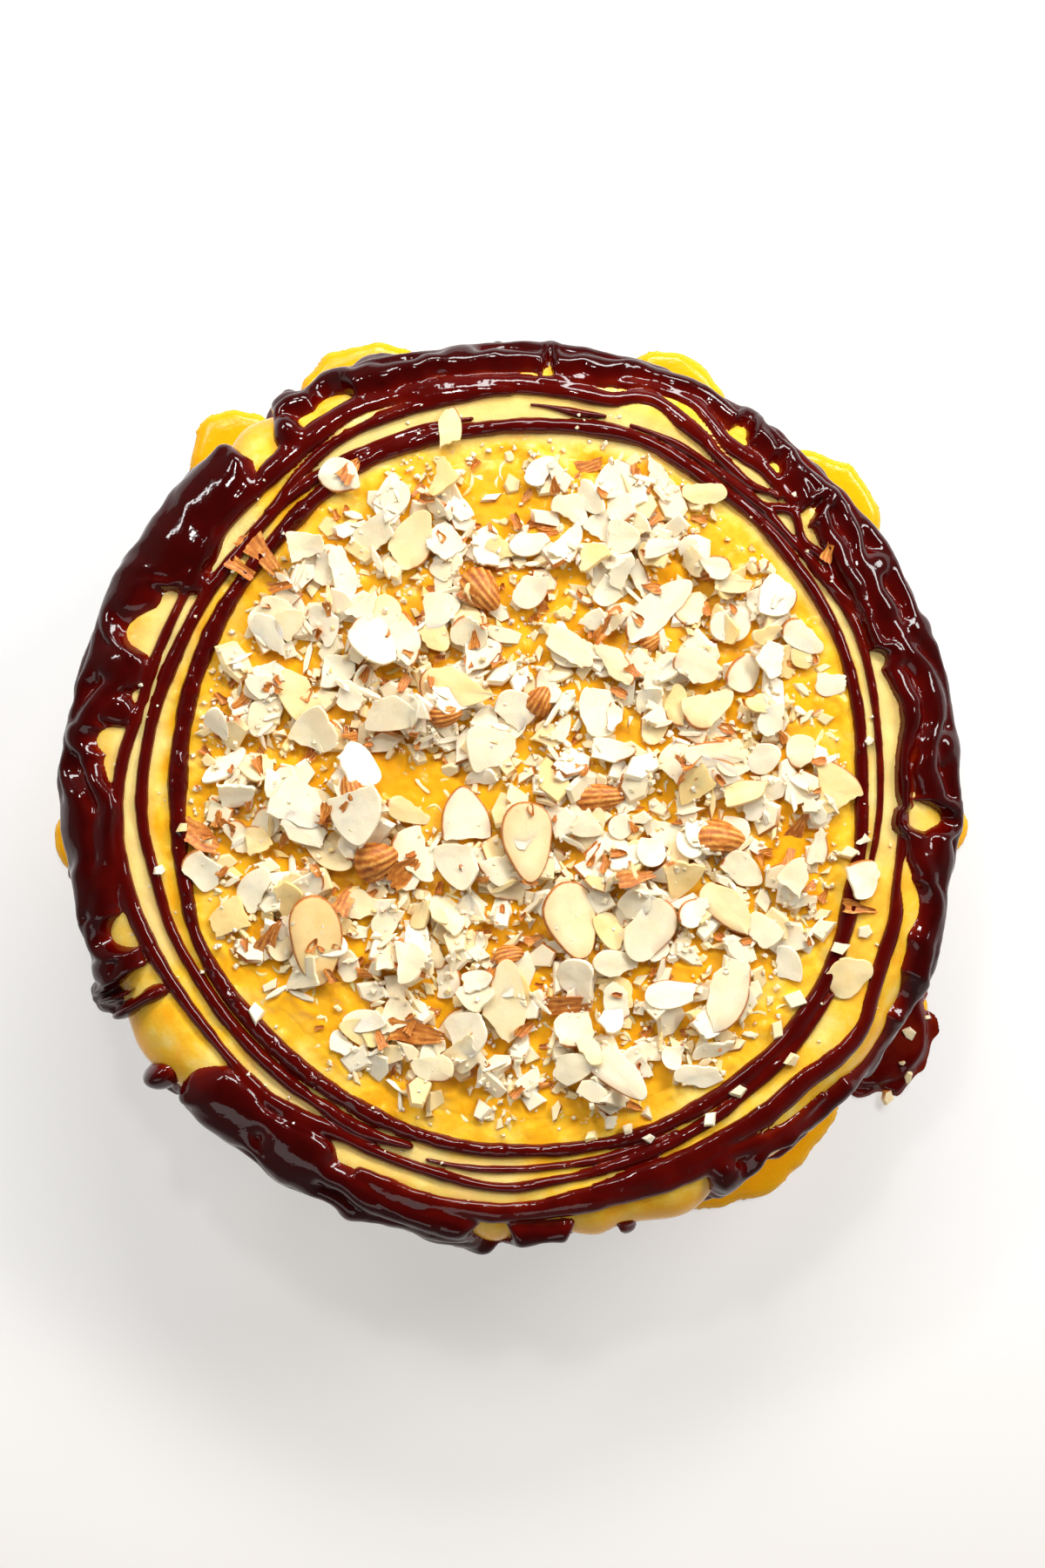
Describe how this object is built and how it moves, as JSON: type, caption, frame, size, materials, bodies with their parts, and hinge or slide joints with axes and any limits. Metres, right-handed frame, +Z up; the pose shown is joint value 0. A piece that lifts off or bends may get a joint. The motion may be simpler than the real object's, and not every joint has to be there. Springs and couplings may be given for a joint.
{
  "type": "german chocolate cheesecake",
  "caption": "Whole round chocolate cheesecake coated with yellow coconut custard, ringed with dark ganache drizzle and heaped with sliced almonds.",
  "frame": {"origin": "Centre of the cake's foot on the surface it stands on, on the cake's axis", "axes": "+Z up through the cake, +X and +Y across it; the picture looks straight down with +X to its right and +Y to its top"},
  "size_m": [0.2506, 0.2411, 0.0693],
  "materials": {
    "crumb_crust": "dark crumbly pressed biscuit",
    "cheesecake_side": "soft baked chocolate cheesecake, slightly pitted",
    "custard": "glossy yellow coconut custard, lumpy with shreds",
    "ganache": "very glossy dark chocolate ganache",
    "almond": "sliced and chopped raw almonds with brown skins"
  },
  "bodies": {
    "root": {"crust": "crumb_crust", "cheesecake": "cheesecake_side", "custard_topping": "custard", "ganache": "ganache", "almond_topping": "almond"}
  },
  "joints": []
}
